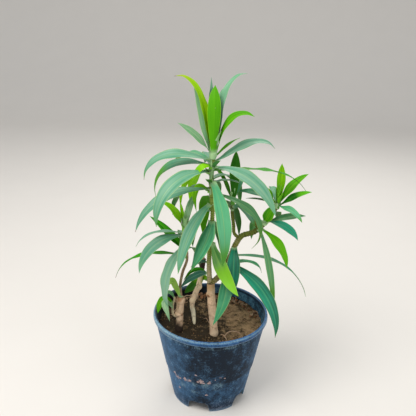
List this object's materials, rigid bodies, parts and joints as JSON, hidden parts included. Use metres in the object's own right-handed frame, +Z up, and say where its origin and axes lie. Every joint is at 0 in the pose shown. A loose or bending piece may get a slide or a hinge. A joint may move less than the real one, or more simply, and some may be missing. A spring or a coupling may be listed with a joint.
{
  "type": "potted song of india",
  "caption": "Song of india house plant in a round blue plastic nursery pot: cut-back canes in soil, with leafy shoots of arching strap leaves.",
  "frame": {"origin": "on the ground, under the middle of the outline of plant and pot together, in plan", "axes": "+Z up, -Y towards the viewer of the picture, +X to the viewer's right"},
  "size_m": [0.41, 0.25, 0.7101],
  "materials": {
    "pot": "satin",
    "soil": "matte",
    "cane": "matte",
    "stem": "matte",
    "heart": "satin",
    "leaf": "satin",
    "young_leaf": "satin"
  },
  "bodies": {
    "root": {"back_heart": "heart", "back_left_cane": "cane", "back_shoot": "stem", "leaf_back_1": "leaf", "leaf_back_2": "leaf", "leaf_back_3": "leaf", "leaf_back_4": "leaf", "leaf_back_shoot_1": "leaf", "leaf_left_1": "young_leaf", "leaf_left_2": "leaf", "leaf_left_3": "leaf", "leaf_left_4": "leaf", "leaf_left_5": "leaf", "leaf_left_6": "leaf", "leaf_left_7": "leaf", "leaf_low_1": "leaf", "leaf_low_2": "leaf", "leaf_low_3": "leaf", "leaf_mid_1": "leaf", "leaf_mid_10": "leaf", "leaf_mid_2": "leaf", "leaf_mid_3": "leaf", "leaf_mid_4": "young_leaf", "leaf_mid_5": "leaf", "leaf_mid_6": "leaf", "leaf_mid_7": "leaf", "leaf_mid_8": "leaf", "leaf_mid_9": "leaf", "leaf_right_1": "leaf", "leaf_right_10": "leaf", "leaf_right_11": "young_leaf", "leaf_right_12": "leaf", "leaf_right_13": "leaf", "leaf_right_2": "leaf", "leaf_right_3": "leaf", "leaf_right_4": "leaf", "leaf_right_5": "leaf", "leaf_right_6": "leaf", "leaf_right_7": "leaf", "leaf_right_8": "leaf", "leaf_right_9": "young_leaf", "leaf_top_1": "young_leaf", "leaf_top_2": "leaf", "leaf_top_3": "young_leaf", "leaf_top_4": "leaf", "leaf_top_5": "leaf", "leaf_top_6": "leaf", "leaf_top_7": "young_leaf", "leaf_top_8": "leaf", "left_heart": "heart", "left_shoot": "stem", "left_stub": "cane", "main_cane": "cane", "main_heart": "heart", "main_stem": "stem", "pot": "pot", "right_bough": "stem", "right_heart": "heart", "second_shoot": "stem", "soil": "soil"}
  },
  "joints": []
}
